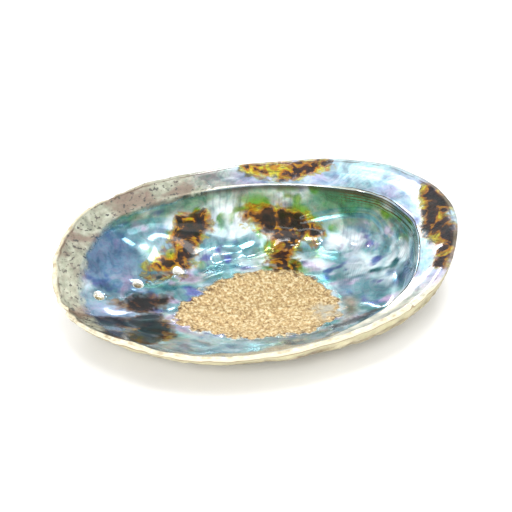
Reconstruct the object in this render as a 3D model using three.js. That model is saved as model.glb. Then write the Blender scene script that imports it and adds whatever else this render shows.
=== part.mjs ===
// Abalone shell: one ear-shaped shell that lies on its back with its pearly bowl up.
// Millimetres, +Z up, +X towards the spire end, +Y towards the ledge side where the breathing holes are.
// The skin is two sheets that meet along the free edge: the pearly side above and the rough back below.
import * as THREE from "three";
import { mergeVertices } from "three/addons/utils/BufferGeometryUtils.js";

// ---- Driving dimensions ----

// Free edge, anticlockwise from the spire end: x, y and height above the table.
const MARGIN = [
  [76.5, 2, 36],
  [73, 21, 37.5],
  [61, 37, 38],
  [40, 47, 37.5],
  [14, 51, 36.5],
  [-14, 50, 35.5],
  [-40, 46, 33.5],
  [-60, 37.5, 30.5],
  [-72, 22, 26],
  [-76, 7, 21.5],
  [-73.5, -7, 17.5],
  [-66, -22, 19.5],
  [-50, -38, 21],
  [-28, -49.5, 22],
  [-2, -52.5, 23],
  [24, -49, 24.5],
  [48, -40, 27],
  [66, -24.5, 31],
];

// Each list goes once round the edge in eighths: spire end, then ledge side, then head end, then near side.
const LEDGE_WIDTH = [15.5, 17, 11.5, 10, 9, 4, 3.5, 9.5];
const LEDGE_DROP = [4.5, 3.5, 2.5, 2.5, 3.5, 2, 1.5, 3];
const WALL_POWER = [2.3, 3.2, 3.6, 2.8, 2, 2, 2, 2.1]; // 2 is a round bowl, more is a flat floor and a steep wall
const WALL_SHARE = [0.95, 0.95, 0.95, 0.7, 0.25, 0.25, 0.35, 0.9]; // the rest is a soft slope up to the edge
const UNDERCUT = [1.5, 3, 1, 0, 0, 0, 0, 1]; // how far the wall runs back under the ledge

const FLOOR = new THREE.Vector3(8, 6, 5.5); // middle of the bowl
const SOFT_SLOPE_POWER = 2.1;
const UNDERCUT_POWER = 4; // more puts the undercut nearer the lip
const LEDGE_HOLLOW = 0.7; // how far the ledge sags between its lip and the free edge
const EDGE_ROUND = 1; // how far in from the free edge its rounded crest lies
const CREST_HEIGHT = 0.6;
const UNDER_EDGE_INSET = 0.7; // how far in from the free edge the back begins

const WALL = 3.1; // thickness over the bowl
const EDGE_THICKNESS = 2.2;
const FLANGE_POWER = 7; // how late the back flares out to meet the ledge's edge

// The row of holes: a groove inside and a ridge on the back, from the edge to the spire.
const HOLE_ROW = [
  [-76, -9],
  [-59, 6],
  [-43, 13.8],
  [-27, 22],
  [-6, 29],
  [20, 32],
  [43, 24],
  [56, 8],
  [57, -8],
  [48, -19],
];
const ROW_DEPTH = 2.6;
const ROW_WIDTH = 5.5;
const ROW_POINTS = 90; // points the row is measured from

// Open breathing holes, oldest first: x, y and radius.
const HOLES = [
  [-27, 21.8, 2.1],
  [-43.5, 13.4, 2],
  [-59, 5.6, 1.8],
];

const SPIRE = new THREE.Vector2(45, -13);
const SPIRE_DEPTH = 3;
const SPIRE_RADIUS = 15;
const HOLLOW_FADE_POWER = 12; // how late the groove and the pocket fade out below the lip

const SINK = 0.6; // how much of the back's lowest part is worn flat where the shell rests

const RINGS = 24; // rings from the middle to the free edge, on each sheet
const LEDGE_RINGS = 5; // how many of the upper sheet's rings lie on the ledge
const PROFILE_STEPS = 40;
const SIDE = 2 * RINGS + 1; // points along each side of a square sheet
const LOOP = [[-1, -1], [0, -1], [1, -1], [1, 0], [1, 1], [0, 1], [-1, 1], [-1, 0]]; // round a grid point
const TURN_STEP = 1 / 360; // steps of the search for a hole's place
const BOWL_STEP = 0.01;
const NORMAL_STEP = 1e-3;

// ---- Shape helpers ----

const DOWN = new THREE.Vector3(0, 0, -1);
const margin = new THREE.CatmullRomCurve3(
  MARGIN.map((p) => new THREE.Vector3(...p)),
  true,
  "centripetal",
);
const holeRow = new THREE.CatmullRomCurve3(
  HOLE_ROW.map(([x, y]) => new THREE.Vector3(x, y, 0)),
).getSpacedPoints(ROW_POINTS);

// Smooth periodic value at a turn from 0 to 1, through values spaced evenly round the edge.
function around(values, turn) {
  const n = values.length;
  const at = (turn - Math.floor(turn)) * n;
  const i = Math.floor(at);
  const f = at - i;
  const [a, b, c, d] = [-1, 0, 1, 2].map((k) => values[(i + k + n) % n]);
  return b + 0.5 * f * (c - a + f * (2 * a - 5 * b + 4 * c - d + f * (3 * (b - c) + d - a)));
}

// A point of the free edge, and the level direction from it into the bowl.
function edgeAt(turn) {
  const t = turn - Math.floor(turn);
  const tangent = margin.getTangentAt(t);
  const inward = new THREE.Vector3(-tangent.y, tangent.x, 0).normalize();
  return { point: margin.getPointAt(t), inward };
}

// The ledge's inner edge, where the bowl's wall ends.
function lipAt(turn) {
  const { point, inward } = edgeAt(turn);
  const lip = point.addScaledVector(inward, around(LEDGE_WIDTH, turn));
  lip.z -= around(LEDGE_DROP, turn);
  return lip;
}

// How much lower the bowl lies at a place because of the row of holes and the spire's pocket.
function hollowAt(x, y) {
  let nearest = Infinity;
  for (const p of holeRow) nearest = Math.min(nearest, (p.x - x) ** 2 + (p.y - y) ** 2);
  const groove = ROW_DEPTH * Math.exp(-nearest / ROW_WIDTH ** 2);
  const fromSpire = (x - SPIRE.x) ** 2 + (y - SPIRE.y) ** 2;
  return groove + SPIRE_DEPTH * Math.exp(-fromSpire / SPIRE_RADIUS ** 2);
}

// The bowl from its middle (t = 0) to the ledge's lip (t = 1).
function bowlAt(turn, t) {
  const lip = lipAt(turn);
  const power = around(WALL_POWER, turn);
  const share = around(WALL_SHARE, turn);
  const steep = 1 - (1 - t ** power) ** (1 / power);
  const rise = share * steep + (1 - share) * t ** SOFT_SLOPE_POWER;
  const under = around(UNDERCUT, turn) * Math.sin(Math.PI * t ** UNDERCUT_POWER);
  const out = lip.clone().sub(FLOOR).setZ(0);
  const p = FLOOR.clone().addScaledVector(out, t).addScaledVector(out.normalize(), under);
  p.z = FLOOR.z + (lip.z - FLOOR.z) * rise;
  p.z -= hollowAt(p.x, p.y) * (1 - t ** HOLLOW_FADE_POWER);
  return p;
}

// The direction from the bowl's surface out through the wall to the back.
function bowlNormal(turn, t) {
  const low = Math.max(t - NORMAL_STEP, 0);
  const high = Math.min(t + NORMAL_STEP, 1);
  const along = bowlAt(turn, high).sub(bowlAt(turn, low));
  const across = bowlAt(turn + NORMAL_STEP, t).sub(bowlAt(turn - NORMAL_STEP, t));
  return across.cross(along).normalize();
}

// Points spaced evenly along a smooth curve.
function spaced(points, rings) {
  return new THREE.CatmullRomCurve3(points, false, "centripetal").getSpacedPoints(rings);
}

// Distances from the bowl's middle to its lip, closer together towards the steep lip.
function bowlSteps() {
  return Array.from({ length: PROFILE_STEPS + 1 }, (_, i) => Math.sin((i / PROFILE_STEPS) * Math.PI * 0.5));
}

// Upper sheet along one direction: the bowl, then the ledge out to the free edge.
function upperProfile(turn) {
  const bowl = bowlSteps().map((t) => bowlAt(turn, t));
  const lip = bowl.at(-1);
  const { point, inward } = edgeAt(turn);
  const crest = point.clone().addScaledVector(inward, EDGE_ROUND);
  crest.z += CREST_HEIGHT;
  const middle = lip.clone().lerp(crest, 0.5);
  middle.z -= LEDGE_HOLLOW;
  const ledge = spaced([lip, middle, crest, point], LEDGE_RINGS);
  return [...spaced(bowl, RINGS - LEDGE_RINGS), ...ledge.slice(1)];
}

// Lower sheet along one direction: the bowl moved out by the wall, flaring to meet the free edge.
function lowerProfile(turn) {
  const { point, inward } = edgeAt(turn);
  const under = point.clone().addScaledVector(inward, UNDER_EDGE_INSET);
  under.z -= EDGE_THICKNESS;
  const wallTop = bowlAt(turn, 1).addScaledVector(bowlNormal(turn, 1), WALL);
  const flare = under.clone().sub(wallTop);
  const back = bowlSteps().map((t) => {
    const p = bowlAt(turn, t).addScaledVector(t > 0 ? bowlNormal(turn, t) : DOWN, WALL);
    return p.addScaledVector(flare, t ** FLANGE_POWER);
  });
  return [...spaced(back, RINGS - 1), point];
}

// How far round a square a place on it is, from 0 to 1, starting at the middle of its +X side.
function squareTurn(u, v) {
  if (Math.abs(u) > Math.abs(v)) return ((u > 0 ? 0 : 4) + v / u) / 8;
  return ((v > 0 ? 2 : 6) - u / (v || 1)) / 8;
}

// A square sheet whose square rings become the rings of the shell.
function sheet(profileAt) {
  const geometry = new THREE.PlaneGeometry(2, 2, 2 * RINGS, 2 * RINGS);
  const position = geometry.getAttribute("position");
  for (let i = 0; i < position.count; i++) {
    const u = position.getX(i);
    const v = position.getY(i);
    const ring = Math.round(Math.max(Math.abs(u), Math.abs(v)) * RINGS);
    const p = profileAt(squareTurn(u, v))[ring];
    position.setXYZ(i, p.x, p.y, p.z);
  }
  return geometry;
}

// Opens a round hole in a sheet at a grid point, and gives the loop of points round it.
function openHole(geometry, centre, normal, radius) {
  const position = geometry.getAttribute("position");
  const at = (i) => new THREE.Vector3().fromBufferAttribute(position, i);
  let middle = 0;
  for (let i = 0; i < position.count; i++) {
    if (at(i).distanceTo(centre) < at(middle).distanceTo(centre)) middle = i;
  }
  const loop = LOOP.map(([x, y]) => middle + x + y * SIDE);
  for (const i of loop) {
    const spoke = at(i).sub(centre);
    spoke.addScaledVector(normal, -spoke.dot(normal)).setLength(radius);
    position.setXYZ(i, ...centre.clone().add(spoke));
  }
  const ring = new Set([middle, ...loop]);
  const kept = [];
  const index = geometry.index.array;
  for (let i = 0; i < index.length; i += 3) {
    const corners = [...index.slice(i, i + 3)];
    if (!corners.every((c) => ring.has(c))) kept.push(...corners);
  }
  geometry.setIndex(kept);
  return loop;
}

// The place on the bowl nearest in plan to a point, and the way out through the wall there.
function bowlPlace(x, y) {
  let best = { gap: Infinity };
  for (let turn = 0; turn < 1; turn += TURN_STEP) {
    for (let t = BOWL_STEP; t < 1; t += BOWL_STEP) {
      const p = bowlAt(turn, t);
      const gap = Math.hypot(p.x - x, p.y - y);
      if (gap < best.gap) best = { gap, turn, t, p };
    }
  }
  return { inside: best.p, normal: bowlNormal(best.turn, best.t) };
}

// Opens the holes through both sheets and gives the triangles of their walls.
function holeWalls(upper, lower, count) {
  const walls = [];
  for (const [x, y, radius] of HOLES) {
    const { inside, normal } = bowlPlace(x, y);
    const outside = inside.clone().addScaledVector(normal, WALL);
    const above = openHole(upper, inside, normal, radius);
    const below = openHole(lower, outside, normal, radius).map((i) => i + count);
    for (let k = 0; k < LOOP.length; k++) {
      const next = (k + 1) % LOOP.length;
      walls.push(above[k], below[next], above[next], above[k], below[k], below[next]);
    }
  }
  return walls;
}

// One closed skin: the upper sheet, the holes' walls and the lower sheet turned to face out.
function shellGeometry() {
  const upper = sheet(upperProfile);
  const lower = sheet(lowerProfile);
  const count = upper.getAttribute("position").count;
  const walls = holeWalls(upper, lower, count);
  const flipped = Array.from(lower.index.array, (i) => i + count).reverse();
  const points = [...upper.getAttribute("position").array, ...lower.getAttribute("position").array];
  const geometry = new THREE.BufferGeometry();
  geometry.setAttribute("position", new THREE.Float32BufferAttribute(points, 3));
  geometry.setIndex([...upper.index.array, ...walls, ...flipped]);
  return mergeVertices(geometry);
}

// Stands the shell over the origin on the worn flat of its lowest part.
function setDown(geometry) {
  geometry.computeBoundingBox();
  const { min, max } = geometry.boundingBox;
  geometry.translate(-(min.x + max.x) / 2, -(min.y + max.y) / 2, -min.z - SINK);
  const position = geometry.getAttribute("position");
  for (let i = 0; i < position.count; i++) {
    position.setZ(i, Math.max(position.getZ(i), 0));
  }
  geometry.computeVertexNormals();
  return geometry;
}

const pearl = new THREE.MeshStandardMaterial({ color: 0x9fb9b4, roughness: 0.2, metalness: 0 });
const shell = new THREE.Mesh(setDown(shellGeometry()), pearl);
shell.name = "shell";

const part = new THREE.Group();
part.add(shell);
export default part;
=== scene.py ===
"""Abalone shell: fine surface, pearl, horny marks, muscle scar and rough back, built round the solid.

Places and sizes are in millimetres in the shell's own frame: +X towards the spire end, +Y towards the
ledge side where the breathing holes are, +Z up out of the bowl. The shell lies on its back.
"""

import math

import bmesh
import bpy
import numpy as np
from bpy.props import FloatProperty, FloatVectorProperty, PointerProperty
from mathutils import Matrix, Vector
from mathutils.kdtree import KDTree


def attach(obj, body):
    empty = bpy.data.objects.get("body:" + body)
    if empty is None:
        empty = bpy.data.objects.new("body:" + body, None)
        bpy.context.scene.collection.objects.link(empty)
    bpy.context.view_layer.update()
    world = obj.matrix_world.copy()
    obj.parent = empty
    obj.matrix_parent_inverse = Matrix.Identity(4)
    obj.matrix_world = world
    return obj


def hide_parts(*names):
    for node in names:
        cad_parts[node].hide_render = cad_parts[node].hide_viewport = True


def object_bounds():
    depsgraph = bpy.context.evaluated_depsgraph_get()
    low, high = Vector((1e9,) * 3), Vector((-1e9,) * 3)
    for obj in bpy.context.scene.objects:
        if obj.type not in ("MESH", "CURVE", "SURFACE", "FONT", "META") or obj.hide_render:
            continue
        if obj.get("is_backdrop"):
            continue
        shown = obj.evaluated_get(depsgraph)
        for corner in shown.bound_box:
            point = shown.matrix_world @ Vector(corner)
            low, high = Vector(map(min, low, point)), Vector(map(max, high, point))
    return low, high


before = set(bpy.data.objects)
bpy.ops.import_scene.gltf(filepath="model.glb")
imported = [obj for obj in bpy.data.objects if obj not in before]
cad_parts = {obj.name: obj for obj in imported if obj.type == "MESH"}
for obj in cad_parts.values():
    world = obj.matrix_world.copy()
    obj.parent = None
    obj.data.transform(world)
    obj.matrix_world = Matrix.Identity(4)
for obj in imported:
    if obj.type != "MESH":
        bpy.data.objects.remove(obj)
CAD_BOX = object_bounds()

bl_info = {
    "name": "Abalone Shell",
    "version": (1, 0, 0),
    "blender": (4, 5, 0),
    "location": "View3D > Sidebar > Abalone",
    "description": "Builds an abalone shell that lies with its pearly bowl up",
    "category": "Object",
}

MM = 0.001

# ---- Places on the shell, in millimetres ----

MIDDLE = (8.0, 6.5)  # plan of the bowl's deepest part
FOCUS = (8.0, 6.5, 120.0)  # a point above the bowl that every inner face looks towards
SPIRE = (44.7, -12.3)  # plan of the spire, where growth began
RINGS = 24  # rings of the solid's faces from the bowl's middle to the free edge
LIP_RING = 19  # the ring on the ledge's inner lip

# Open breathing holes, oldest first: x, y, radius.
HOLES = [(-27.3, 22.5, 2.1), (-43.8, 14.1, 2.0), (-59.3, 6.3, 1.8)]

# The row of holes, from the free edge back to the spire.
HOLE_ROW = [(-76, -8), (-59, 6.5), (-43, 14.5), (-27, 22.7), (-6, 29.7), (20, 32.7), (43, 24.7)]
HOLE_ROW += [(56, 8.7), (57, -7.3)]

# Closed holes follow the open ones. The gap and the radius shrink from each to the next.
FIRST_GAP, GAP_SHRINK = 15.5, 0.87
FIRST_RADIUS, RADIUS_SHRINK = 2.0, 0.9

# Plan of the rounded ridge above the row of holes, and the notch where the row meets the free edge.
RIDGE = [(-38, 13), (-22, 24.5), (-12, 30.5), (-1, 32.5), (8, 35.5)]
NOTCH = (-74, -6.5)
NOTCH_RADIUS = 2.0
NOTCH_DEPTH = 2.2

# Control points of the closed curve round the rough muscle scar on the bowl's floor.
SCAR = [(-33, -7), (-21, 9), (0, 21), (21, 15), (31, -8), (19, -24), (-3, -27), (-23, -19)]
THIN_PATCH = (24, -11)  # where pearl has begun to cover the scar

# Horny marks, and one mark of painted shade, as strokes. Each has how golden its border is, then a few points
# of its path:
# x, y, z, half width.
MARKS = [
    # Across the wall behind the scar, and from there down to the scar.
    (1.0, [(4, 39, 17, 2.6), (16, 38, 14, 5.5), (28, 34, 10.5, 3.6)]),
    (0.9, [(18, 35, 9, 5), (14, 28, 4, 3.6), (15, 21, 3, 3.6)]),
    # Down the wall to the oldest open hole, and between the two oldest.
    (1.0, [(-16, 39, 17, 3.6), (-23, 36, 13, 4), (-25, 29, 7.5, 3.2), (-38, 23, 8, 1.2)]),
    (0.5, [(-40, 18, 7, 1.2), (-34, 19.5, 6, 1.9), (-28, 20.5, 5, 1.2)]),
    # From the youngest open hole towards the scar.
    (0.1, [(-57, 6, 10, 0.8), (-50, 2, 8, 2.2), (-43, 2.5, 6.5, 5), (-36, 4, 6, 2.6)]),
    # Two dark streaks at the head end.
    (0.1, [(-73, -8, 15, 3), (-61, -11, 11, 4.6), (-50, -11, 9, 5), (-41, -8, 7, 4)]),
    (0.2, [(-69, -17, 16.5, 3.6), (-57, -25, 14, 5.4), (-46, -23, 11, 6.6), (-40, -14, 8, 6)]),
    # Crescent on the ledge, and the patch on the ledge at the spire end.
    (1.0, [(3, 50, 33, 1.6), (14, 46.5, 32.3, 3), (24, 45, 32.5, 3), (34, 46, 33.6, 2)]),
    (0.7, [(69, 19, 34, 2.6), (72, 11, 33, 5), (68, 3, 31, 4.4), (70, -10, 30, 3.8), (65, -19, 28, 2)]),
    # Painted shade in the cleft by the near wall, laid on as a dark mark.
    (0.0, [(24, -25, 7.5, 1.6), (33, -21.5, 7.4, 3), (43, -15, 8.4, 1.2)]),
]
STROKE_STEPS = 14  # places along a stroke for each of its points
FAR = 99.0  # beyond the reach of any mark

# The few broad patches that stand out from the pearl's drift of colours: tone, x, y, z, radius. Some are
# partly painted reflections.
PATCHES = [
    ("slate", -55, 22, 16, 15),  # blue head end
    ("grey", -56, -17, 12, 9),  # greyer pearl between the two dark streaks, partly a painted reflection
    ("mist", -36, 30, 12, 6.5),  # pale patch beside the blue head end, partly a painted reflection
    ("silver", -5, 39, 18, 8.5),  # pale silver wall between the two golden marks, partly a painted reflection
    ("green", 40, 31, 28, 13),  # green below the lip
    ("silver", 42, 15, 7, 7),  # pale silver floor beside the scar, partly a painted reflection
    ("slate", 55, -4, 12, 5),  # blue streak at the spire end
]

# Crest of a growth wave in the wall, and low bulges that flatten the wall: x, y, z, radius, height.
CREST = [(24, 36.5, 14.5), (38, 31, 20), (49, 24, 22), (54, 18, 17)]
BULGES = [(-35, 30.5, 12.5, 6.5, 1.1), (-6, 38.5, 17, 8, 0.9), (43, 26, 11, 6, 0.8), (-56, 18, 14, 6, 0.7)]

# ---- How the solid's mesh is refined ----

SUBDIVISIONS = 2
HOLE_WALL_REACH = 1.6  # a hole's wall lies this far out from its open radius at most
UPRIGHT = 0.6  # a face whose normal's height is below this stands up
WALK_FALLOFF = 8.0  # how fast a cell's claim to start the walk fades away from the middle
LIP_CREASE, EDGE_CREASE, HOLE_CREASE = 0.75, 0.5, 0.8
CREASE_ANGLE = math.radians(70)

# ---- Stage, in metres ----

# Each light has a place and its two side lengths.
LIGHTS = {
    "key": ((-0.32, -0.72, 0.64), (0.4, 0.28)),
    "top": ((0.1, -0.22, 0.95), (0.26, 0.16)),
    "side": ((0.54, -0.34, 0.7), (0.16, 0.5)),
    "ledge": ((-0.1, 0.5, 0.85), (0.3, 0.16)),
    "fill": ((0.25, -1.6, 0.5), (1.6, 0.7)),
    "back": ((-0.12, 0.86, 0.52), (0.5, 0.16)),
}
LIGHT_AIM = (0, 0, 0.02)
CAMERA_AIM = (-0.0002, 0.0032, 0.0227)
FLOOR_SIDE = 6.0


def smooth(low, high, value):
    """0 below low, 1 above high, eased between them."""
    t = np.clip((value - low) / (high - low), 0, 1)
    return t * t * (3 - 2 * t)


def linear(hex_colour):
    """Linear colour with alpha from an sRGB hex value such as 0xE8DCC0."""
    srgb = [(hex_colour >> shift & 255) / 255 for shift in (16, 8, 0)]
    return tuple(c / 12.92 if c <= 0.04045 else ((c + 0.055) / 1.055) ** 2.4 for c in srgb) + (1.0,)


# ---- Settings ----


def length(name, text, default):
    return FloatProperty(
        name=name, description=text, default=default * MM, min=0.0, unit="LENGTH", precision=5
    )


def colour(name, text, default):
    return FloatVectorProperty(
        name=name, description=text, default=linear(default)[:3], min=0.0, max=1.0, size=3, subtype="COLOR"
    )


def power(name, text, default):
    return FloatProperty(name=name, description=text, default=default, min=0.0)


class ShellSettings(bpy.types.PropertyGroup):
    """Sizes and colours of the shell."""

    fold_height: length("Growth folds", "Height of the broad folds across the back", 0.55)
    fold_spacing: length("Fold spacing", "Distance between the broad folds near the free edge", 7.0)
    line_height: length("Growth lines", "Height of the fine lines across the back", 0.16)
    cord_height: length("Spiral cords", "Height of the cords that run round the back", 0.3)
    tubercle_height: length("Closed holes", "Height of the bumps over closed breathing holes", 1.6)
    ripple_height: length("Pearl ripples", "Height of the soft waves in the pearl", 0.16)
    scar_height: length("Scar roughness", "Height of the grain in the muscle scar", 0.45)
    edge_wear: length("Edge wear", "How far chips and waves run in from the free edge", 0.7)
    pearl_silver: colour("Silver pearl", "Palest tone of the pearl", 0xDDE8EA)
    pearl_teal: colour("Teal pearl", "Main cool tone of the pearl", 0x7FB4B6)
    pearl_green: colour("Green pearl", "Green tone of the pearl", 0x4F9C74)
    pearl_pink: colour("Pink pearl", "Rose tone of the pearl", 0xD8B4C8)
    pearl_violet: colour("Violet pearl", "Violet tone of the pearl", 0x8F8FC4)
    scar_beige: colour("Scar", "Rough muscle scar", 0xC9AE7C)
    chalk_beige: colour("Chalky band", "Matt band at the head end of the ledge", 0xA0A28C)
    crust_cream: colour("Crust", "Cream of the back", 0xD2C9A4)
    crust_green: colour("Crust green", "Green of the back", 0x8A8C5E)
    crust_brown: colour("Crust brown", "Brown of the back", 0x7A5B43)


class PearlTones(bpy.types.PropertyGroup):
    """Tones of the pearl."""

    silver: colour("Silver", "Tone of the pearl where it is silver", 0xF0FCFF)
    mist: colour("Mist", "Tone of the pearl where it is mist", 0xB8DEE4)
    aqua: colour("Aqua", "Tone of the pearl where it is aqua", 0x8CC0C6)
    teal: colour("Teal", "Tone of the pearl where it is teal", 0x548C96)
    green: colour("Green", "Tone of the pearl where it is green", 0x3C9468)
    lime: colour("Lime", "Tone of the pearl where it is lime", 0x74B83C)
    slate: colour("Slate blue", "Tone of the pearl where it is slate blue", 0x5C7AA6)
    sky: colour("Sky blue", "Tone of the pearl where it is sky blue", 0x9CBCE0)
    violet: colour("Violet", "Tone of the pearl where it is violet", 0x6864C4)
    lilac: colour("Lilac", "Tone of the pearl where it is lilac", 0xAEB2D2)
    rose: colour("Rose", "Tone of the pearl where it is rose", 0xDCBCDC)
    grey: colour("Grey pearl", "Tone of the pearl where it is grey", 0x8A9C98)
    sand: colour("Sand", "Tone of the pearl where it is sand", 0xC2B298)
    cream: colour("Cream", "Tone of the pearl where it is cream", 0xE0DAC2)
    moss: colour("Moss", "Tone of the pearl where it is moss", 0x9C967C)


class HornTones(bpy.types.PropertyGroup):
    """Tones of the horny marks, and of the painted shade in the cleft by the near wall."""

    black: colour("Brown black", "Tone of the horny marks where they are brown black", 0x140D09)
    brown: colour("Brown", "Tone of the horny marks where they are brown", 0x442410)
    tan: colour("Tan", "Tone of the horny marks where they are tan", 0x8C5A2A)
    amber: colour("Amber", "Tone of the horny marks where they are amber", 0xB0700C)
    gold: colour("Gold", "Tone of the horny marks where they are gold", 0xAA8406)
    yellow: colour("Yellow", "Tone of the horny marks where they are yellow", 0xC8C024)
    olive: colour("Olive", "Tone of the horny marks where they are olive", 0x5A5808)
    taupe: colour("Taupe", "Tone of the horny marks where they are taupe", 0x5C4842)


class StageSettings(bpy.types.PropertyGroup):
    """Floor, lights and camera."""

    floor_colour: colour("Floor", "Plain pale floor", 0xF2F2F2)
    key_watts: power("Key light", "Strength of the large soft light", 6.0)
    top_watts: power("Top light", "Strength of the light overhead", 2.4)
    side_watts: power("Side light", "Strength of the small light at the side", 1.5)
    ledge_watts: power("Ledge light", "Strength of the light over the ledge", 1.0)
    fill_watts: power("Fill light", "Strength of the low front light", 5.0)
    back_watts: power("Back light", "Strength of the light behind", 3.0)
    sky: power("Room light", "Strength of the even light all round", 0.65)
    azimuth: FloatProperty(name="Azimuth", description="Direction the camera looks from", default=-10.0)
    elevation: FloatProperty(name="Elevation", description="Degrees above the horizon", default=35.0)
    distance: FloatProperty(
        name="Distance", description="From the aim to the camera", default=0.53, unit="LENGTH"
    )
    lens: FloatProperty(name="Lens", description="Focal length in millimetres", default=100.0)


# ---- Noise and fields, worked out for every vertex at once ----


def lattice(cells, seed):
    """A repeatable value from -1 to 1 for each whole-number cell."""
    n = cells[:, 0] * 73856093 ^ cells[:, 1] * 19349663 ^ cells[:, 2] * 83492791 ^ (seed + 1) * 2654435761
    n = (n ^ n >> 13) * 1274126177 & 0x7FFFFFFF
    n = (n ^ n >> 15) * 1103515245 & 0x7FFFFFFF
    return (n ^ n >> 16) / 0x3FFFFFFF - 1


def noise(points, size, seed=0, octaves=1):
    """Smooth noise from about -1 to 1 with bumps of that size in millimetres."""
    total = np.zeros(len(points))
    reach = 0.0
    for octave in range(octaves):
        place = points * (2**octave / size) + 31.7 * octave
        cell = np.floor(place).astype(np.int64)
        f = place - cell
        f = f * f * (3 - 2 * f)
        value = np.zeros(len(points))
        for corner in range(8):
            step = np.array([corner & 1, corner >> 1 & 1, corner >> 2 & 1])
            share = np.prod(np.where(step, f, 1 - f), axis=1)
            value += share * lattice(cell + step, seed + octave)
        total += value / 2**octave
        reach += 1 / 2**octave
    return total / reach


def nearest(points, targets):
    """Distance from each point to the nearest target."""
    tree = KDTree(len(targets))
    for i, target in enumerate(targets):
        tree.insert(target, i)
    tree.balance()
    return np.array([tree.find(p)[2] for p in points])


def outline_distance(points, outline):
    """Signed distance in plan to a closed outline: below 0 is inside."""
    x, y = points[:, 0], points[:, 1]
    best = np.full(len(points), np.inf)
    inside = np.zeros(len(points), bool)
    for (ax, ay), (bx, by) in zip(outline, outline[1:] + outline[:1]):
        dx, dy = bx - ax, by - ay
        t = np.clip(((x - ax) * dx + (y - ay) * dy) / (dx * dx + dy * dy), 0, 1)
        best = np.minimum(best, np.hypot(x - ax - t * dx, y - ay - t * dy))
        inside ^= ((ay > y) != (by > y)) & (x < dx * (y - ay) / (dy if dy else 1e-9) + ax)
    return np.where(inside, -best, best)


def spline(points, count):
    """Evenly shared points of a smooth curve through the given ones."""
    p = np.array([points[0], *points, points[-1]], float)
    at = np.linspace(0, len(points) - 1 - 1e-9, count)
    i = at.astype(int)
    t = (at - i)[:, None]
    a, b, c, d = p[i], p[i + 1], p[i + 2], p[i + 3]
    return b + 0.5 * t * (c - a + t * (2 * a - 5 * b + 4 * c - d + t * (3 * (b - c) + d - a)))


def closed_outline(points, steps=12):
    """Places along a smooth closed curve through the given points, with that many steps for each."""
    spans = len(points) + 2
    curve = spline(points[-1:] + points + points[:2], steps * spans)
    return [tuple(place) for place in curve[steps - 1 : steps * (spans - 1) - 1]]


TIGHTNESS = 0.5  # how fast the coil shrinks with each radian back in time
GROWTH_STEPS = 330
OLDEST = 3.3 * math.pi  # the age given to places that the coil never reaches


def growth(points, edge):
    """Age of each point, as the radians the coil has turned since the free edge stood there, and where
    on the free edge it then was. The past's free edge is today's, turned back about the spire and shrunk."""
    away = edge[:, :2] - SPIRE
    heading = np.arctan2(away[:, 1], away[:, 0])
    order = np.argsort(heading)
    heading, reach = heading[order], np.log(np.hypot(away[:, 0], away[:, 1]))[order]
    away = points[:, :2] - SPIRE
    angle = np.arctan2(away[:, 1], away[:, 0])
    radius = np.log(np.maximum(np.hypot(away[:, 0], away[:, 1]), 0.3))
    age = np.full(len(points), OLDEST)
    before = np.interp(angle, heading, reach, period=2 * math.pi) - radius
    open_ones = np.ones(len(points), bool)
    step = OLDEST / GROWTH_STEPS
    for k in range(1, GROWTH_STEPS + 1):
        turned = k * step
        now = np.interp(angle + turned, heading, reach, period=2 * math.pi) - TIGHTNESS * turned - radius
        crossed = open_ones & (now <= 0)
        share = before / np.maximum(before - now, 1e-9)
        age[crossed] = ((k - 1 + np.clip(share, 0, 1)) * step)[crossed]
        open_ones &= ~crossed
        before = now
    return age, angle + age


# ---- The mesh ----


def only(obj):
    """Makes obj the one selected and active object."""
    if bpy.context.mode != "OBJECT":
        bpy.ops.object.mode_set(mode="OBJECT")
    bpy.ops.object.select_all(action="DESELECT")
    obj.select_set(True)
    bpy.context.view_layer.objects.active = obj


def copy_of_solid(node, name):
    """A merged copy of a node's mesh, as an object of its own."""
    piece = bpy.data.objects.new(name, node.data.copy())
    bpy.context.scene.collection.objects.link(piece)
    piece.data.name = name
    piece.data.materials.clear()
    only(piece)
    bpy.ops.object.mode_set(mode="EDIT")
    bpy.ops.mesh.select_all(action="SELECT")
    bpy.ops.mesh.remove_doubles(threshold=1e-6)
    bpy.ops.object.mode_set(mode="OBJECT")
    return piece


def hole_wall(face):
    """True for a face of a breathing hole's own wall."""
    corners = [v.co / MM for v in face.verts]
    near = False
    for x, y, radius in HOLES:
        near |= all(math.hypot(p.x - x, p.y - y) < radius + HOLE_WALL_REACH for p in corners)
    return near and abs(face.normal.z) < UPRIGHT


def two_sheets(faces):
    """The faces of the pearly side and those of the back. A face that stands alone joins its neighbours."""
    focus = Vector(FOCUS) * MM
    pearl = {f for f in faces if f.normal.dot(focus - f.calc_center_median()) > 0}
    for face in faces:
        beside = [f for e in face.edges for f in e.link_faces if f is not face and f in faces]
        if sum((f in pearl) != (face in pearl) for f in beside) >= 2:
            pearl ^= {face}
    return pearl, faces - pearl


def longest_first(face):
    return sorted(face.edges, key=lambda e: -e.calc_length())


def paired_diagonals(faces):
    """The edges that split four-sided cells of one sheet in two, found by walking across the sheet."""
    near = Vector((*MIDDLE, 0)) * MM

    def sharpness(face):
        first, second, _ = longest_first(face)
        away = face.calc_center_median() - near
        claim = first.calc_length() / second.calc_length()
        return claim - math.hypot(away.x, away.y) / (WALK_FALLOFF * MM)

    start = max(faces, key=sharpness)
    diagonal = {start: longest_first(start)[0]}
    waiting = [start]
    while waiting:
        face = waiting.pop()
        for loop in face.loops:
            follows = loop.link_loop_next.edge == diagonal[face]
            for other in loop.edge.link_loops:
                if other.face not in faces or other.face in diagonal:
                    continue
                beside = other.link_loop_next if follows else other.link_loop_prev
                diagonal[other.face] = loop.edge if loop.edge == diagonal[face] else beside.edge
                waiting.append(other.face)
    return set(diagonal.values())


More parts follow.
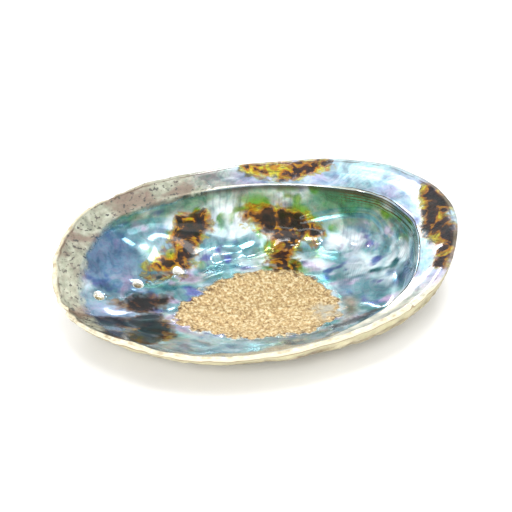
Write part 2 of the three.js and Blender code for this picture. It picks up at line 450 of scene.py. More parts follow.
def make_cells(piece):
    """Turns the loose triangles back into four-sided cells, and notes each vertex's side and ring."""
    mesh = bmesh.new()
    mesh.from_mesh(piece.data)
    side = mesh.verts.layers.float.new("side")
    ring = mesh.verts.layers.float.new("ring")
    crease = mesh.edges.layers.float.new("crease_edge")
    mesh.normal_update()
    walls = {f for f in mesh.faces if hole_wall(f)}
    pearl, back = two_sheets(set(mesh.faces) - walls)
    splits = paired_diagonals(pearl) | paired_diagonals(back) | {longest_first(f)[0] for f in walls}
    both = {True, False}
    free_edge = {v for v in mesh.verts if {f in pearl for f in v.link_faces if f not in walls} == both}
    inner = {v for f in pearl for v in f.verts} - free_edge
    bmesh.ops.dissolve_edges(mesh, edges=list(splits), use_verts=False)
    level = {v: RINGS for v in free_edge}
    current = set(free_edge)
    for number in range(RINGS - 1, -1, -1):
        beside = {(c, v) for c in current for f in c.link_faces for v in f.verts if v not in level}
        current = {v for c, v in beside if c in free_edge or (c in inner) == (v in inner)}
        level.update(dict.fromkeys(current, number))
    for v in mesh.verts:
        v[side] = 0 if v in free_edge else 1 if v in inner else -1
        v[ring] = level.get(v, 0)
    for e in mesh.edges:
        numbers = {level.get(v) for v in e.verts}
        if numbers == {LIP_RING} and all(v in inner for v in e.verts):
            e[crease] = LIP_CREASE
        elif numbers == {RINGS}:
            e[crease] = EDGE_CREASE
        elif len(e.link_faces) == 2 and e.calc_face_angle() > CREASE_ANGLE:
            e[crease] = HOLE_CREASE
    mesh.to_mesh(piece.data)
    mesh.free()


def refine(piece, levels):
    only(piece)
    finer = piece.modifiers.new("Finer", "SUBSURF")
    finer.levels = finer.render_levels = levels
    bpy.ops.object.modifier_apply(modifier=finer.name)


def read(data, kind, name, width=1):
    """Values of a mesh's vertices as an array, in rows of that width."""
    values = np.empty(len(data.vertices) * width, np.float32)
    source = data.vertices if kind == "vertices" else data.attributes[name].data
    source.foreach_get(name if kind == "vertices" else "value", values)
    return values.reshape(-1, width).astype(float) if width > 1 else values.astype(float)


def write_value(mesh, name, values):
    mesh.attributes.new(name, "FLOAT", "POINT").data.foreach_set("value", values.astype(np.float32))


def write_colour(mesh, name, values):
    rgba = np.hstack([values, np.ones((len(values), 1))]).astype(np.float32)
    mesh.attributes.new(name, "FLOAT_COLOR", "POINT").data.foreach_set("color", rgba.ravel())


class Surface:
    """The fine surface's vertices and what is known of each, in millimetres."""

    def __init__(self, mesh):
        self.mesh = mesh
        self.points = read(mesh, "vertices", "co", 3) / MM
        self.normals = read(mesh, "vertices", "normal", 3)
        self.side = read(mesh, "attribute", "side")
        self.ring = read(mesh, "attribute", "ring")
        edge = self.points[self.ring > RINGS - 0.01]
        lip = self.points[(np.abs(self.ring - LIP_RING) < 0.01) & (self.side > 0.9)]
        self.from_edge = nearest(self.points, edge)
        self.from_lip = nearest(self.points, lip) * np.sign(self.ring - LIP_RING)
        self.age, self.along = growth(self.points, edge)
        self.scar = outline_distance(self.points, closed_outline(SCAR))
        out = self.points[:, :2] - MIDDLE
        self.heading = np.degrees(np.arctan2(out[:, 1], out[:, 0]))

    def plan_distance(self, x, y):
        """Distance in plan from each vertex to a place."""
        return np.hypot(self.points[:, 0] - x, self.points[:, 1] - y)

    def push(self, heights):
        """Moves each vertex along its normal."""
        self.points += self.normals * heights[:, None]

    def settle(self):
        """Writes the moved vertices back and works out their new normals."""
        self.points[:, 2] = np.maximum(self.points[:, 2], 0)
        self.mesh.vertices.foreach_set("co", (self.points * MM).astype(np.float32).ravel())
        self.mesh.update()
        self.normals = read(self.mesh, "vertices", "normal", 3)


def arc(heading, middle, half, ease=15):
    """1 within half of a heading in degrees, fading to 0 over ease more."""
    gap = np.abs((heading - middle + 180) % 360 - 180)
    return 1 - smooth(half, half + ease, gap)


def row_places():
    """Closed holes from the oldest open one back to the spire: x, y, radius. They shrink as the coil does."""
    row = spline(HOLE_ROW, 400)
    steps = np.hypot(*np.diff(row, axis=0).T)
    along = np.concatenate([[0], np.cumsum(steps)])
    start = along[np.argmin(np.hypot(row[:, 0] - HOLES[0][0], row[:, 1] - HOLES[0][1]))]
    places = []
    gap, radius = FIRST_GAP, FIRST_RADIUS
    at = start + gap
    while at < along[-1]:
        places.append((*row[np.searchsorted(along, at)], radius))
        gap *= GAP_SHRINK
        radius *= RADIUS_SHRINK
        at += gap
    return places


def wear_edge(s, settings):
    """Waves and small chips along the free edge, strongest at the head end."""
    outward = s.points - (*MIDDLE, 0)
    outward[:, 2] = 0
    outward /= np.linalg.norm(outward, axis=1)[:, None]
    head = arc(s.heading, 185, 28, 40)
    depth = settings.edge_wear / MM * (0.35 + 0.9 * head)
    waves = noise(s.points, 9, 3) * 0.9 + noise(s.points, 3.2, 4) * 0.7
    notch = NOTCH_DEPTH * np.exp(-((s.plan_distance(*NOTCH) / NOTCH_RADIUS) ** 2))
    fade = 1 - smooth(0.2, 6, s.from_edge)
    s.points += outward * ((waves * depth - 0.3 * depth - notch) * fade)[:, None]
    s.points[:, 2] += (noise(s.points, 12, 5) * 0.7 + noise(s.points, 5, 6) * 0.25) * (0.4 + head) * fade


def raise_back(s, settings):
    """Folds, lines, cords, closed holes and crust on the back."""
    back = smooth(0.02, 0.25, -s.side)
    near_edge = smooth(0.2, 3, s.from_edge)
    wander = noise(s.points, 16, 11, 2)
    reach = s.plan_distance(*SPIRE)
    fold_turn = settings.fold_spacing / MM / 60 / TIGHTNESS
    phase = s.age / fold_turn + wander * 0.55
    saw = phase - np.floor(phase)
    folds = np.where(saw < 0.75, saw / 0.75, (1 - saw) / 0.25) - 0.5
    size = smooth(4, 45, reach)
    heights = settings.fold_height / MM * folds * (0.25 + 0.75 * size)
    fine = np.sin(s.age / fold_turn * 2 * math.pi * 6.5 + noise(s.points, 7, 12, 2) * 5)
    heights += settings.line_height / MM * fine * (0.4 + 0.6 * size)
    cords = np.sin(s.along * 26 + noise(s.points, 9, 13) * 0.9)
    patchy = smooth(-0.6, 0.5, noise(s.points, 18, 14))
    heights += settings.cord_height / MM * cords * (0.3 + 0.7 * size) * patchy
    for x, y, radius in row_places():
        gap = s.plan_distance(x, y) / radius
        dome = np.exp(-((gap / 1.5) ** 4)) - 0.7 * np.exp(-((gap / 0.7) ** 2))
        heights += settings.tubercle_height / MM * radius / 2 * dome
    for x, y, radius in HOLES:
        gap = s.plan_distance(x - 0.6, y) - radius
        heights += 0.9 * np.exp(-((gap / 1.3) ** 2))
    crust = noise(s.points, 5, 15, 3) * 0.28 + np.maximum(noise(s.points, 2.6, 16, 2), 0) * 0.3
    heights += crust
    s.push(heights * back * (0.15 + 0.85 * near_edge))


def shape_pearl(s, settings):
    """Soft waves in the pearl, growth steps near the edge, raised hole rims and healed holes."""
    pearl = smooth(0.02, 0.25, s.side)
    ripple = settings.ripple_height / MM
    near_head = 1 - smooth(-60, -20, s.points[:, 0])
    reach = s.plan_distance(*SPIRE)
    lines = np.sin(s.age * 26 + noise(s.points, 14, 22) * 3.5)
    lines *= smooth(35, 80, reach) * (0.5 + 0.9 * near_head)
    waves = noise(s.points, 15, 21, 2) * 2.2 + noise(s.points, 7, 27) * 0.7 + lines
    heights = ripple * waves * smooth(0.5, 4, s.from_edge)
    for x, y, radius in row_places():
        gap = s.plan_distance(x, y) / radius
        heights -= 0.7 * np.exp(-((gap / 1.2) ** 2)) * (s.points[:, 2] < 20)
    for x, y, radius in HOLES:
        gap = s.plan_distance(x, y) - radius
        heights += 0.55 * np.exp(-(((gap - 0.9) / 1.1) ** 2))
    beside_spire = arc(s.heading, -6, 22, 20) * smooth(-8, -5.5, s.from_lip) * smooth(-0.8, -2, s.from_lip)
    heights += 0.2 * np.sin(s.from_lip * 4.2 + noise(s.points, 8, 26)) * beside_spire
    flat = np.c_[s.points[:, :2], np.zeros(len(s.points))]
    gap = nearest(flat, [(*place, 0) for place in spline(RIDGE, 120)])
    heights += 1.1 * np.exp(-((gap / 2.1) ** 2)) * smooth(-42, -25, s.points[:, 0])
    heights += 0.7 * np.exp(-((nearest(s.points, spline(CREST, 100)) / 1.5) ** 2))
    for x, y, z, radius, height in BULGES:
        heights += height * np.exp(-((np.linalg.norm(s.points - (x, y, z), axis=1) / radius) ** 2))
    scar = 1 - smooth(-1.2, 0.6, s.scar + noise(s.points, 4, 25) * 1.4)
    grain = noise(s.points, 5, 23, 3) * 0.7 + noise(s.points * (1, 0.7, 1), 1.7, 24) * 1.3
    rim = np.exp(-(((s.scar + 1.2) / 1.6) ** 2))
    heights = heights * (1 - 0.7 * scar) + scar * settings.scar_height / MM * grain + 0.12 * rim
    s.push(heights * pearl)


def blend(base, share, tone):
    """Base colours with a tone laid over them by that share at each vertex."""
    return base + (np.array(tone) - base) * np.clip(share, 0, 1)[:, None]


def paint_pearl(s, tones, gilt):
    """The pearl's broad tone at each vertex. It drifts, and differs from part to part of the bowl."""
    x, y, z = s.points.T
    drawn = np.c_[x, y * 1.4, z * 1.4]  # colours drift further along the shell than across it
    steep = smooth(0.85, 0.3, s.normals[:, 2]) * (s.from_lip < 0)
    on_ledge = smooth(-0.8, 0.4, s.from_lip)
    spire_side = smooth(-5, 30, x)
    tone = np.tile(np.array(tones.aqua), (len(x), 1))
    tone = blend(tone, smooth(-0.15, 0.4, noise(drawn, 13, 71, 3)), tones.silver)
    tone = blend(tone, smooth(0.15, 0.55, noise(drawn, 8, 72, 3)), tones.teal)
    tone = blend(tone, smooth(0.2, 0.55, noise(drawn, 11, 73, 3)) * 0.8, tones.sky)
    tone = blend(tone, smooth(0.25, 0.5, noise(drawn, 8, 74, 3)) * 0.8, tones.violet)
    tone = blend(tone, smooth(0.2, 0.5, noise(drawn, 8, 75, 3)) * 0.7, tones.rose)
    high = steep * smooth(16, 25, z)
    tone = blend(tone, high * (0.55 + 0.6 * noise(drawn, 9, 76, 2)), tones.green)
    tone = blend(tone, high * spire_side * smooth(0.2, 0.5, noise(drawn, 7, 77, 2)), tones.lime)
    tone = blend(tone, smooth(-30, -50, x) * smooth(12, -4, y) * 0.75, tones.lilac)
    near = smooth(-16, -28, y + 0.08 * x) * (0.85 + 0.2 * noise(drawn, 8, 78, 2))
    tone = blend(tone, near, tones.grey)
    torn = s.points + np.stack([noise(s.points, 6, seed, 2) for seed in (81, 82, 83)], axis=1) * 4
    # Broad patches; the silver, mist and grey ones are partly painted reflections.
    for name, px, py, pz, radius in PATCHES:
        gap = np.linalg.norm(torn - (px, py, pz), axis=1) / radius
        tone = blend(tone, smooth(1.35, 0.5, gap) * 0.8, getattr(tones, name))
    tone = blend(tone, gilt * smooth(0.0, 0.35, noise(drawn, 6, 84, 2)), tones.lime)
    beside_scar = np.exp(-(((s.scar - 3) / 3) ** 2)) * smooth(24, 32, x) * smooth(0, -6, y)
    tone = blend(tone, beside_scar, tones.sand)
    ledge = np.tile(np.array(tones.lilac), (len(x), 1))
    ledge = blend(ledge, smooth(-0.3, 0.3, noise(drawn, 12, 79, 3)), tones.mist)
    ledge = blend(ledge, smooth(0.15, 0.5, noise(drawn, 9, 80, 3)) * 0.8, tones.sky)
    ledge = blend(ledge, arc(s.heading, 145, 30, 25) * 0.8, tones.moss)
    ledge = blend(ledge, arc(s.heading, 250, 60, 25), tones.cream)
    return tone + (ledge - tone) * on_ledge[:, None]


def mark_distances(s):
    """Signed distance to the nearest mark, below 0 inside, and how golden that mark's border is. The marks
    are horny ones, and one of painted shade in the cleft by the near wall.
    """
    nearest_one = np.full(len(s.points), FAR)
    golden = np.zeros(len(s.points))
    for gilt, path in MARKS:
        for x, y, z, half in spline(path, STROKE_STEPS * len(path)):
            gap = np.linalg.norm(s.points - (x, y, z), axis=1) - half
            closer = gap < nearest_one
            nearest_one[closer] = gap[closer]
            golden[closer] = gilt
    return nearest_one, golden


def note_fields(s, scene):
    """Writes what the materials read."""
    mesh = s.mesh
    write_value(mesh, "age", s.age)
    write_value(mesh, "edge", s.from_edge)
    write_value(mesh, "lip", s.from_lip)
    write_value(mesh, "scar", s.scar + np.where(s.side > 0, 0, 50))
    marks, golden = mark_distances(s)
    write_value(mesh, "stain", marks)
    write_value(mesh, "golden", golden)
    write_value(mesh, "thin", smooth(9, 3, s.plan_distance(*THIN_PATCH)))
    holes = [s.plan_distance(x, y) - radius for x, y, radius in HOLES]
    write_value(mesh, "hole", np.min(holes, axis=0))
    write_value(mesh, "cream", 0.25 + 0.75 * arc(s.heading, 232, 72, 30))
    # Where the lip overhangs: the mask for the painted shadow under the lip and the pale line on it.
    write_value(mesh, "crisp", arc(s.heading, 80, 52, 22))
    # Where the lines beside the spire lie: partly horny lines, partly painted shade in the growth steps.
    by_lip = smooth(-6.5, -4, s.from_lip) * smooth(2.2, 0.6, s.from_lip)
    write_value(mesh, "terrace", arc(s.heading, -6, 34, 20) * by_lip)
    chalk = arc(s.heading, 163, 26, 30) * smooth(-7, 3, s.from_lip + noise(s.points, 8, 51) * 1.5)
    write_value(mesh, "chalk", np.clip(chalk, 0, 1))
    tone = paint_pearl(s, scene.abalone_pearl, golden * smooth(9, 2, marks) * (s.from_lip < -1))
    near_side = arc(s.heading, 262, 48, 20) * smooth(-18, -30, s.points[:, 1] + s.points[:, 0] * 0.1) * 0.75
    pale = smooth(0.22, 0.75, tone.min(axis=1)) * 0.9
    on_ledge = (s.from_lip > -0.3) * 0.3
    write_value(mesh, "milk", np.max([pale, on_ledge, near_side], axis=0))
    write_colour(mesh, "tone", tone)


# ---- Materials ----


def add(tree, kind, settings=None, links=None):
    """A node of that kind with its settings, and each input joined to another node's output or set."""
    node = tree.nodes.new(kind)
    for key, value in (settings or {}).items():
        setattr(node, key, value)
    for key, value in (links or {}).items():
        socket = node.inputs[key]
        if isinstance(value, bpy.types.NodeSocket):
            tree.links.new(value, socket)
        else:
            socket.default_value = value
    return node


class Paint:
    """Short forms for the nodes that the shell's two materials share."""

    def __init__(self, name):
        self.material = bpy.data.materials.new(name)
        self.material.use_nodes = True
        self.tree = self.material.node_tree
        self.tree.nodes.clear()
        self.place = add(self.tree, "ShaderNodeTexCoord").outputs["Object"]

    def value(self, name):
        """A number noted at each vertex."""
        return add(self.tree, "ShaderNodeAttribute", {"attribute_name": name}).outputs["Fac"]

    def tone(self, name):
        """A colour noted at each vertex."""
        return add(self.tree, "ShaderNodeAttribute", {"attribute_name": name}).outputs["Color"]

    def math(self, operation, a, b=0.0):
        return add(self.tree, "ShaderNodeMath", {"operation": operation}, {0: a, 1: b}).outputs[0]

    def times(self, result, *factors):
        for factor in factors:
            result = self.math("MULTIPLY", result, factor)
        return result

    def plus(self, result, *terms):
        for term in terms:
            result = self.math("ADD", result, term)
        return result

    def most(self, result, *others):
        for other in others:
            result = self.math("MAXIMUM", result, other)
        return result

    def less(self, a, b):
        return self.math("SUBTRACT", a, b)

    def steps(self, value, low, high):
        """0 below low to 1 above high."""
        node = add(
            self.tree,
            "ShaderNodeMapRange",
            {"interpolation_type": "SMOOTHSTEP"},
            {"Value": value, "From Min": low, "From Max": high},
        )
        return node.outputs["Result"]

    def mix(self, share, a, b, blend="MIX"):
        kind = {"data_type": "RGBA", "blend_type": blend, "clamp_result": False}
        node = add(self.tree, "ShaderNodeMix", kind)
        for key, value in (("Factor_Float", share), ("A_Color", a), ("B_Color", b)):
            socket = next(i for i in node.inputs if i.identifier == key)
            if isinstance(value, bpy.types.NodeSocket):
                self.tree.links.new(value, socket)
            else:
                socket.default_value = value
        return next(o for o in node.outputs if o.identifier == "Result_Color")

    def tint(self, share, colour, tone):
        """The colour with an sRGB hex tone laid over it by that share."""
        return self.mix(share, colour, linear(tone))

    def clouds(self, size, detail=3.0, wander=0.0, stretch=None):
        """Noise with bumps of that size in millimetres, from 0 to 1."""
        place = self.place
        if stretch:
            links = {"Vector": place, "Scale": stretch}
            place = add(self.tree, "ShaderNodeMapping", {}, links).outputs["Vector"]
        links = {"Vector": place, "Scale": 1 / (size * MM), "Detail": detail, "Distortion": wander}
        return add(self.tree, "ShaderNodeTexNoise", {}, links).outputs["Fac"]

    def waver(self, size, detail, reach, wander=0.0):
        """Noise about 0 with bumps of that size in millimetres, scaled by reach."""
        return self.times(self.less(self.clouds(size, detail, wander), 0.5), reach)

    def ramp(self, value, stops):
        """Colour from a value, through stops of (place, colour)."""
        node = add(self.tree, "ShaderNodeValToRGB", {}, {"Fac": value})
        elements = node.color_ramp.elements
        while len(elements) < len(stops):
            elements.new(0.5)
        for element, (place, tint) in zip(elements, stops):
            element.position = place
            element.color = linear(tint) if isinstance(tint, int) else (*tint[:3], 1)
        return node.outputs["Color"]

    def bump(self, height, depth):
        """A normal from a height of 0 to 1 that stands for depth millimetres."""
        links = {"Height": height, "Distance": depth * MM, "Strength": 1.0}
        return add(self.tree, "ShaderNodeBump", {}, links).outputs["Normal"]

    def finish(self, **links):
        """The material, with a shader that has these inputs."""
        links = {name.replace("_", " "): value for name, value in links.items()}
        shader = add(self.tree, "ShaderNodeBsdfPrincipled", {}, links)
        out = add(self.tree, "ShaderNodeOutputMaterial", {}, {"Surface": shader.outputs[0]})
        out.is_active_output = True
        return self.material


# Gloss of the pearl, and of the places on it that aren't glossy.
PEARL_METAL = 0.64
PEARL_ROUGHNESS = 0.13
LEDGE_ROUGHNESS = 0.12  # added on the ledge
MATT_ROUGHNESS = 0.45  # added where the surface is matt
PEARL_SPECULAR = 0.25
COAT_ROUGHNESS = 0.035
CRUST_ROUGHNESS = 0.62
SHELL_IOR = 1.5
RELIEF_DEPTH = 0.5  # millimetres


def opal_pearl(p, settings):
    """The broad tone with opal colours drifting over a few millimetres, a finer play and growth lines."""
    stops = [
        (0.3, settings.pearl_violet),
        (0.4, settings.pearl_teal),
        (0.48, settings.pearl_silver),
        (0.55, settings.pearl_pink),
        (0.62, settings.pearl_silver),
        (0.72, settings.pearl_green),
    ]
    colour = p.mix(0.5, p.tone("tone"), p.ramp(p.clouds(6, 4, 2.0), stops), "SOFT_LIGHT")
    colour = p.mix(0.25, colour, p.ramp(p.clouds(2.6, 2, 0.5), stops), "SOFT_LIGHT")
    shade = p.ramp(p.clouds(8, 3, 1.0), [(0.36, 0x7C8898), (0.5, 0xD4D6DC), (0.62, 0xFFFFFF)])
    colour = p.mix(0.6, colour, shade, "MULTIPLY")
    lines = p.math("SINE", p.plus(p.times(p.value("age"), 160.0), p.times(p.clouds(14, 2), 12.0)))
    faint = p.times(p.steps(lines, 0.2, 1.2), p.steps(p.clouds(12, 2), 0.45, 0.65), 0.45)
    return p.mix(faint, colour, p.mix(1.0, colour, linear(0xAEB4C6), "MULTIPLY"))


def lip_lines(p, colour, lip):
    """Painted shadow: a dark band under the ledge's lip. Also a pale line on the lip, and thin dark and gold
    lines beside the spire that are partly horny lines and partly painted shade in the growth steps.
    """
    crisp = p.value("crisp")
    # Painted shadow under the ledge's lip, laid where the lip overhangs.
    under = p.times(p.steps(lip, -3.4, -0.9), p.steps(lip, 0.0, -0.5), 0.75, crisp)
    colour = p.tint(under, colour, 0x2C2228)
    pale = p.times(p.steps(lip, -0.3, 0.0), p.steps(lip, 0.9, 0.3), 0.6, crisp)
    colour = p.tint(pale, colour, 0xDCD4BC)
    # Thin dark and gold lines beside the spire: partly horny lines, partly painted shade in the growth steps.
    wavy = p.plus(p.times(lip, 5.2), p.times(p.clouds(7, 4), 9.0))
    terrace = p.times(p.steps(p.math("SINE", wavy), 0.1, 0.9), p.value("terrace"))
    gilt = p.ramp(p.clouds(3, 3), [(0.4, 0x20180E), (0.55, 0x5A480C), (0.65, 0x2A2420)])
    return p.mix(terrace, colour, gilt)


def horny_marks_and_shade(p, colour, stain, horns):
    """Horny marks: brown black inside, golden or brown towards the border, and drawn out in fibres. The same
    field also lays the painted shade in the cleft by the near wall.
    """
    streak = p.clouds(2.0, 5, 0.8, stretch=(0.4, 1.0, 1.0))
    fibre = p.ramp(streak, [(0.32, 0x585858), (0.48, 0xD8D8D8), (0.6, 0xFFFFFF)])
    golden = p.value("golden")
    depth = p.plus(p.times(stain, 0.075), p.times(p.clouds(7.5, 6, 1.4), 1.75), -0.47)
    gilded_stops = [
        (0.04, horns.black),
        (0.3, horns.brown),
        (0.4, horns.amber),
        (0.5, horns.gold),
        (0.62, horns.yellow),
        (0.82, horns.olive),
    ]
    plain_stops = [(0.2, horns.black), (0.5, horns.brown), (0.74, horns.tan), (0.9, horns.taupe)]
    horn = p.mix(golden, p.ramp(depth, plain_stops), p.ramp(depth, gilded_stops))
    horn = p.mix(0.9, horn, fibre, "MULTIPLY")
    border = p.less(stain, p.times(golden, 1.6))
    thick = p.times(p.steps(border, 2.6, -2.2), 0.5)
    cover = p.times(p.steps(border, 1.7, 0.2), p.plus(thick, 0.48))
    return p.mix(cover, colour, horn)


def chalky_grains(p, colour, chalk, settings):
    """Grey beige grains with dark specks."""
    grains = p.ramp(p.clouds(3, 6), [(0.3, 0x7A7868), (0.5, settings.chalk_beige), (0.68, 0xC0C2AE)])
    grains = p.tint(p.steps(p.clouds(11, 4), 0.45, 0.6), grains, 0x84705E)
    grains = p.tint(p.steps(p.clouds(1.6, 3), 0.42, 0.36), grains, 0x342C24)
    return p.mix(p.times(chalk, 0.75), colour, grains)


def cut_edge(p, colour, rim, rim_place):
    """The cream cut of the outer layer along the free edge, with a brown seam inside it."""
    cream = p.ramp(p.clouds(2.5, 4), [(0.35, 0xB8A888), (0.5, 0xDCD2B4), (0.65, 0xEEE6D0)])
    colour = p.mix(p.times(rim, 0.85), colour, cream)
    seam = p.times(p.steps(rim_place, 2.2, 2.6), p.steps(rim_place, 3.3, 2.8))
    seam = p.times(seam, p.steps(p.clouds(6, 3), 0.4, 0.55), 0.6)
    return p.tint(seam, colour, 0x5E4632)


def scar_grains(p, colour, scar, grit, settings):
    """The scar's coarse beige grains with brown flecks, and a patch where pearl has begun to cover it."""
    beige_stops = [(0.3, 0x80643E), (0.42, 0xB2946A), (0.52, settings.scar_beige), (0.66, 0xE6D6B0)]
    beige = p.ramp(grit, beige_stops)
    flecks = p.times(p.steps(p.clouds(2.2, 5, 1.0), 0.5, 0.6), p.steps(p.value("scar"), -5.0, -0.5), 0.8)
    beige = p.tint(flecks, beige, 0x4A2C14)
    thin = p.times(p.value("thin"), p.steps(p.clouds(5, 5), 0.4, 0.6), 0.8)
    beige = p.tint(thin, beige, 0xB4B4A8)
    return p.mix(scar, colour, beige)


def pearl_material(settings, horns):
    """Mother of pearl, naturally polished: thin clear layers over silvery ones, so reflections are sharp
    on top and coloured and soft below. Brown horny marks, a rough scar and a chalky band interrupt it."""
    p = Paint("mother of pearl, natural polish")
    lip = p.value("lip")
    colour = opal_pearl(p, settings)
    colour = lip_lines(p, colour, lip)
    # Marks: the horny ones, and the painted shade in the cleft by the near wall.
    stain = p.plus(p.value("stain"), p.waver(4.5, 6, 7.0, 1.2), p.waver(11, 3, 9.0, 1.0))
    colour = horny_marks_and_shade(p, colour, stain, horns)
    # Painted light: near-white walls inside the breathing holes, for the light seen through them.
    colour = p.tint(p.steps(p.value("hole"), 0.3, 0.05), colour, 0xFFFDF6)
    chalk = p.steps(p.plus(p.value("chalk"), p.waver(4, 5, 0.9)), 0.3, 0.7)
    colour = chalky_grains(p, colour, chalk, settings)
    rim_place = p.plus(p.value("edge"), p.times(p.clouds(5, 4), 1.6))
    rim = p.times(p.steps(rim_place, 2.6, 1.6), p.value("cream"))
    colour = cut_edge(p, colour, rim, rim_place)
    scar = p.steps(p.plus(p.value("scar"), p.waver(4.5, 6, 10.0)), 0.9, -0.9)
    grit = p.clouds(1.0, 4, 0.4, stretch=(1.0, 0.75, 1.0))
    colour = scar_grains(p, colour, scar, grit, settings)
    # Gloss: the scar, the chalk, the rim and the marks out on the ledge are matt.
    dull_mark = p.times(p.steps(stain, 1.0, 0.0), p.steps(lip, -0.5, 0.5))
    matt = p.most(scar, chalk, rim, p.times(dull_mark, 0.85))
    satin = p.times(p.steps(lip, 0.5, 2.0), LEDGE_ROUGHNESS)
    roughness = p.plus(satin, PEARL_ROUGHNESS, p.times(matt, MATT_ROUGHNESS))
    coat = p.less(1.0, p.most(matt, p.times(p.steps(stain, 1.0, 0.0), 0.7)))
    coat = p.times(coat, p.less(1.0, p.times(p.steps(lip, 0.3, 2.0), 0.5)))
    pearly = p.less(1.0, p.most(matt, p.steps(stain, 1.5, 0.0)))
    metal = p.times(pearly, PEARL_METAL, p.less(1.0, p.value("milk")))
    relief = p.plus(p.times(scar, grit), p.times(p.most(chalk, dull_mark), p.clouds(1.2, 4)))
    normal = p.bump(relief, RELIEF_DEPTH)
    return p.finish(
        Base_Color=colour,
        Metallic=metal,
        Roughness=roughness,
        IOR=SHELL_IOR,
        Specular_IOR_Level=PEARL_SPECULAR,
        Coat_Weight=coat,
        Coat_Roughness=COAT_ROUGHNESS,
        Coat_IOR=SHELL_IOR,
        Normal=normal,
        Coat_Normal=normal,
    )


def crust_material(settings):
    """Chalky outer layer, weathered: dull cream and green bands that follow growth, brown films and pits."""
    p = Paint("shell crust, weathered")
    age = p.value("age")
    bands = p.math("FRACT", p.plus(p.times(age, 2.3), p.times(p.clouds(12, 4), 1.2)))
    band_stops = [
        (0.0, settings.crust_cream),
        (0.3, settings.crust_green),
        (0.5, 0xB8B088),
        (0.72, settings.crust_brown),
        (0.86, settings.crust_cream),
        (1.0, settings.crust_cream),
    ]
    mottle = p.ramp(p.clouds(5, 6), [(0.35, 0x6E6A4C), (0.5, 0xB4AC88), (0.68, 0xDAD2B4)])
    colour = p.mix(0.5, p.ramp(bands, band_stops), mottle)
    colour = p.tint(p.times(p.steps(p.clouds(7, 5, 1.0), 0.55, 0.68), 0.6), colour, 0x5E4634)
    lines = p.math("SINE", p.plus(p.times(age, 120.0), p.times(p.clouds(6, 3), 14.0)))
    colour = p.tint(p.times(p.steps(lines, 0.1, 1.0), 0.35), colour, 0x5A5240)
    # Along the free edge: a paler margin, the cream edge itself and a brown line between them.
    edge = p.plus(p.value("edge"), p.waver(9, 3, 1.6))
    colour = p.tint(p.times(p.steps(edge, 6.0, 2.0), 0.7), colour, 0xD0CAA4)
    colour = p.tint(p.times(p.steps(edge, 2.0, 1.2), 0.9), colour, 0xE8E0C6)
    line = p.times(p.steps(edge, 1.3, 1.6), p.steps(edge, 2.2, 1.8), 0.7)
    colour = p.tint(line, colour, 0x7E5C3E)
    relief = p.plus(p.clouds(1.6, 6), p.times(lines, 0.12))
    normal = p.bump(relief, RELIEF_DEPTH)
    return p.finish(Base_Color=colour, Roughness=CRUST_ROUGHNESS, IOR=SHELL_IOR, Normal=normal)


# ---- Operators ----


class ABALONE_OT_shell(bpy.types.Operator):
    """Builds the fine shell round the solid one and gives it its pearl and crust"""

    bl_idname = "abalone.shell"
    bl_label = "Shell"

    def execute(self, context):
        settings = context.scene.abalone_shell
        piece = copy_of_solid(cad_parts["shell"], "abalone_shell")
        make_cells(piece)
        refine(piece, SUBDIVISIONS)
        surface = Surface(piece.data)
        wear_edge(surface, settings)
        surface.settle()
        raise_back(surface, settings)
        shape_pearl(surface, settings)
        surface.settle()
        note_fields(surface, context.scene)
        piece.data.materials.append(pearl_material(settings, context.scene.abalone_horn))
        piece.data.materials.append(crust_material(settings))
        corners = np.array([[*face.vertices] for face in piece.data.polygons])
        slots = (surface.side[corners].mean(axis=1) < -0.01).astype(np.int32)
        piece.data.polygons.foreach_set("material_index", slots)
        only(piece)
        bpy.ops.object.shade_smooth()
        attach(piece, "root")
        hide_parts("shell")
        return {"FINISHED"}


def area_light(name, place, size, watts):
    lamp = bpy.data.lights.new(name, "AREA")
    lamp.shape = "RECTANGLE"
    lamp.size, lamp.size_y = size
    lamp.energy = watts
    light = bpy.data.objects.new(name, lamp)
    light.location = place
    light.rotation_euler = (Vector(LIGHT_AIM) - Vector(place)).to_track_quat("-Z", "Y").to_euler()
    bpy.context.scene.collection.objects.link(light)


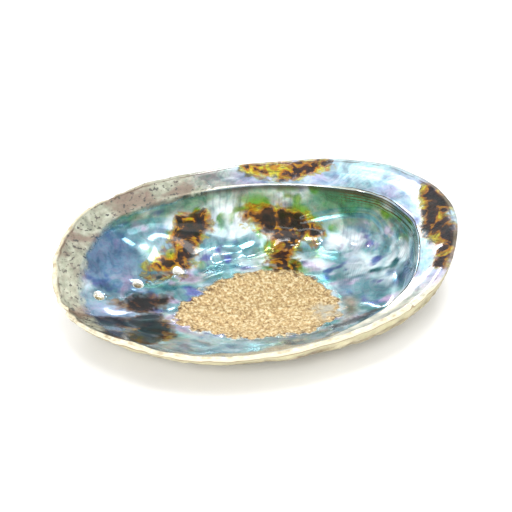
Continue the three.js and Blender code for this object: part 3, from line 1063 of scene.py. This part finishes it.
class ABALONE_OT_stage(bpy.types.Operator):
    """Lays the floor and sets the lights and the camera"""

    bl_idname = "abalone.stage"
    bl_label = "Stage"

    def execute(self, context):
        settings = context.scene.abalone_stage
        bpy.ops.object.select_all(action="DESELECT")
        bpy.ops.mesh.primitive_plane_add(size=FLOOR_SIDE, location=(0, 0, 0))
        floor = context.object
        floor.name = "floor"
        paint = Paint("white paper sweep, matt")
        floor.data.materials.append(paint.finish(Base_Color=(*settings.floor_colour, 1.0), Roughness=0.9))
        floor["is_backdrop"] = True
        for name, (place, size) in LIGHTS.items():
            area_light(name, place, size, getattr(settings, name + "_watts"))
        world = bpy.data.worlds.new("studio")
        world.use_nodes = True
        background = world.node_tree.nodes["Background"]
        background.inputs["Color"].default_value = (1, 1, 1, 1)
        background.inputs["Strength"].default_value = settings.sky
        context.scene.world = world
        context.scene.view_settings.view_transform = "Standard"
        camera = bpy.data.objects.new("camera", bpy.data.cameras.new("camera"))
        context.scene.collection.objects.link(camera)
        context.scene.camera = camera
        camera.data.lens = settings.lens
        azimuth, elevation = math.radians(settings.azimuth), math.radians(settings.elevation)
        level = math.cos(elevation)
        back = Vector((math.sin(azimuth) * level, -math.cos(azimuth) * level, math.sin(elevation)))
        camera.location = Vector(CAMERA_AIM) + back * settings.distance
        camera.rotation_euler = (-back).to_track_quat("-Z", "Y").to_euler()
        return {"FINISHED"}


class ABALONE_PT_panel(bpy.types.Panel):
    """Lists the builder's operators and settings"""

    bl_idname = "ABALONE_PT_panel"
    bl_label = "Abalone Shell"
    bl_space_type = "VIEW_3D"
    bl_region_type = "UI"
    bl_category = "Abalone"

    def draw(self, context):
        groups = {
            ABALONE_OT_shell: ("abalone_shell", "abalone_pearl", "abalone_horn"),
            ABALONE_OT_stage: ("abalone_stage",),
        }
        for operator, names in groups.items():
            self.layout.operator(operator.bl_idname)
            for settings in (getattr(context.scene, name) for name in names):
                for name in settings.__annotations__:
                    self.layout.prop(settings, name)


SETTINGS = {
    "abalone_shell": ShellSettings,
    "abalone_pearl": PearlTones,
    "abalone_horn": HornTones,
    "abalone_stage": StageSettings,
}
CLASSES = (*SETTINGS.values(), ABALONE_OT_shell, ABALONE_OT_stage, ABALONE_PT_panel)


def register():
    for cls in CLASSES:
        bpy.utils.register_class(cls)
    for name, group in SETTINGS.items():
        setattr(bpy.types.Scene, name, PointerProperty(type=group))


def unregister():
    for name in SETTINGS:
        delattr(bpy.types.Scene, name)
    for cls in reversed(CLASSES):
        bpy.utils.unregister_class(cls)


def write_sizes():
    """Gathers the box corners of the solid shell and of the visible one."""
    boxes = {"cad_low": CAD_BOX[0], "cad_high": CAD_BOX[1]}
    boxes["low"], boxes["high"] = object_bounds()


def main():
    register()
    bpy.ops.abalone.shell()
    bpy.ops.abalone.stage()
    write_sizes()


if __name__ == "__main__":
    main()
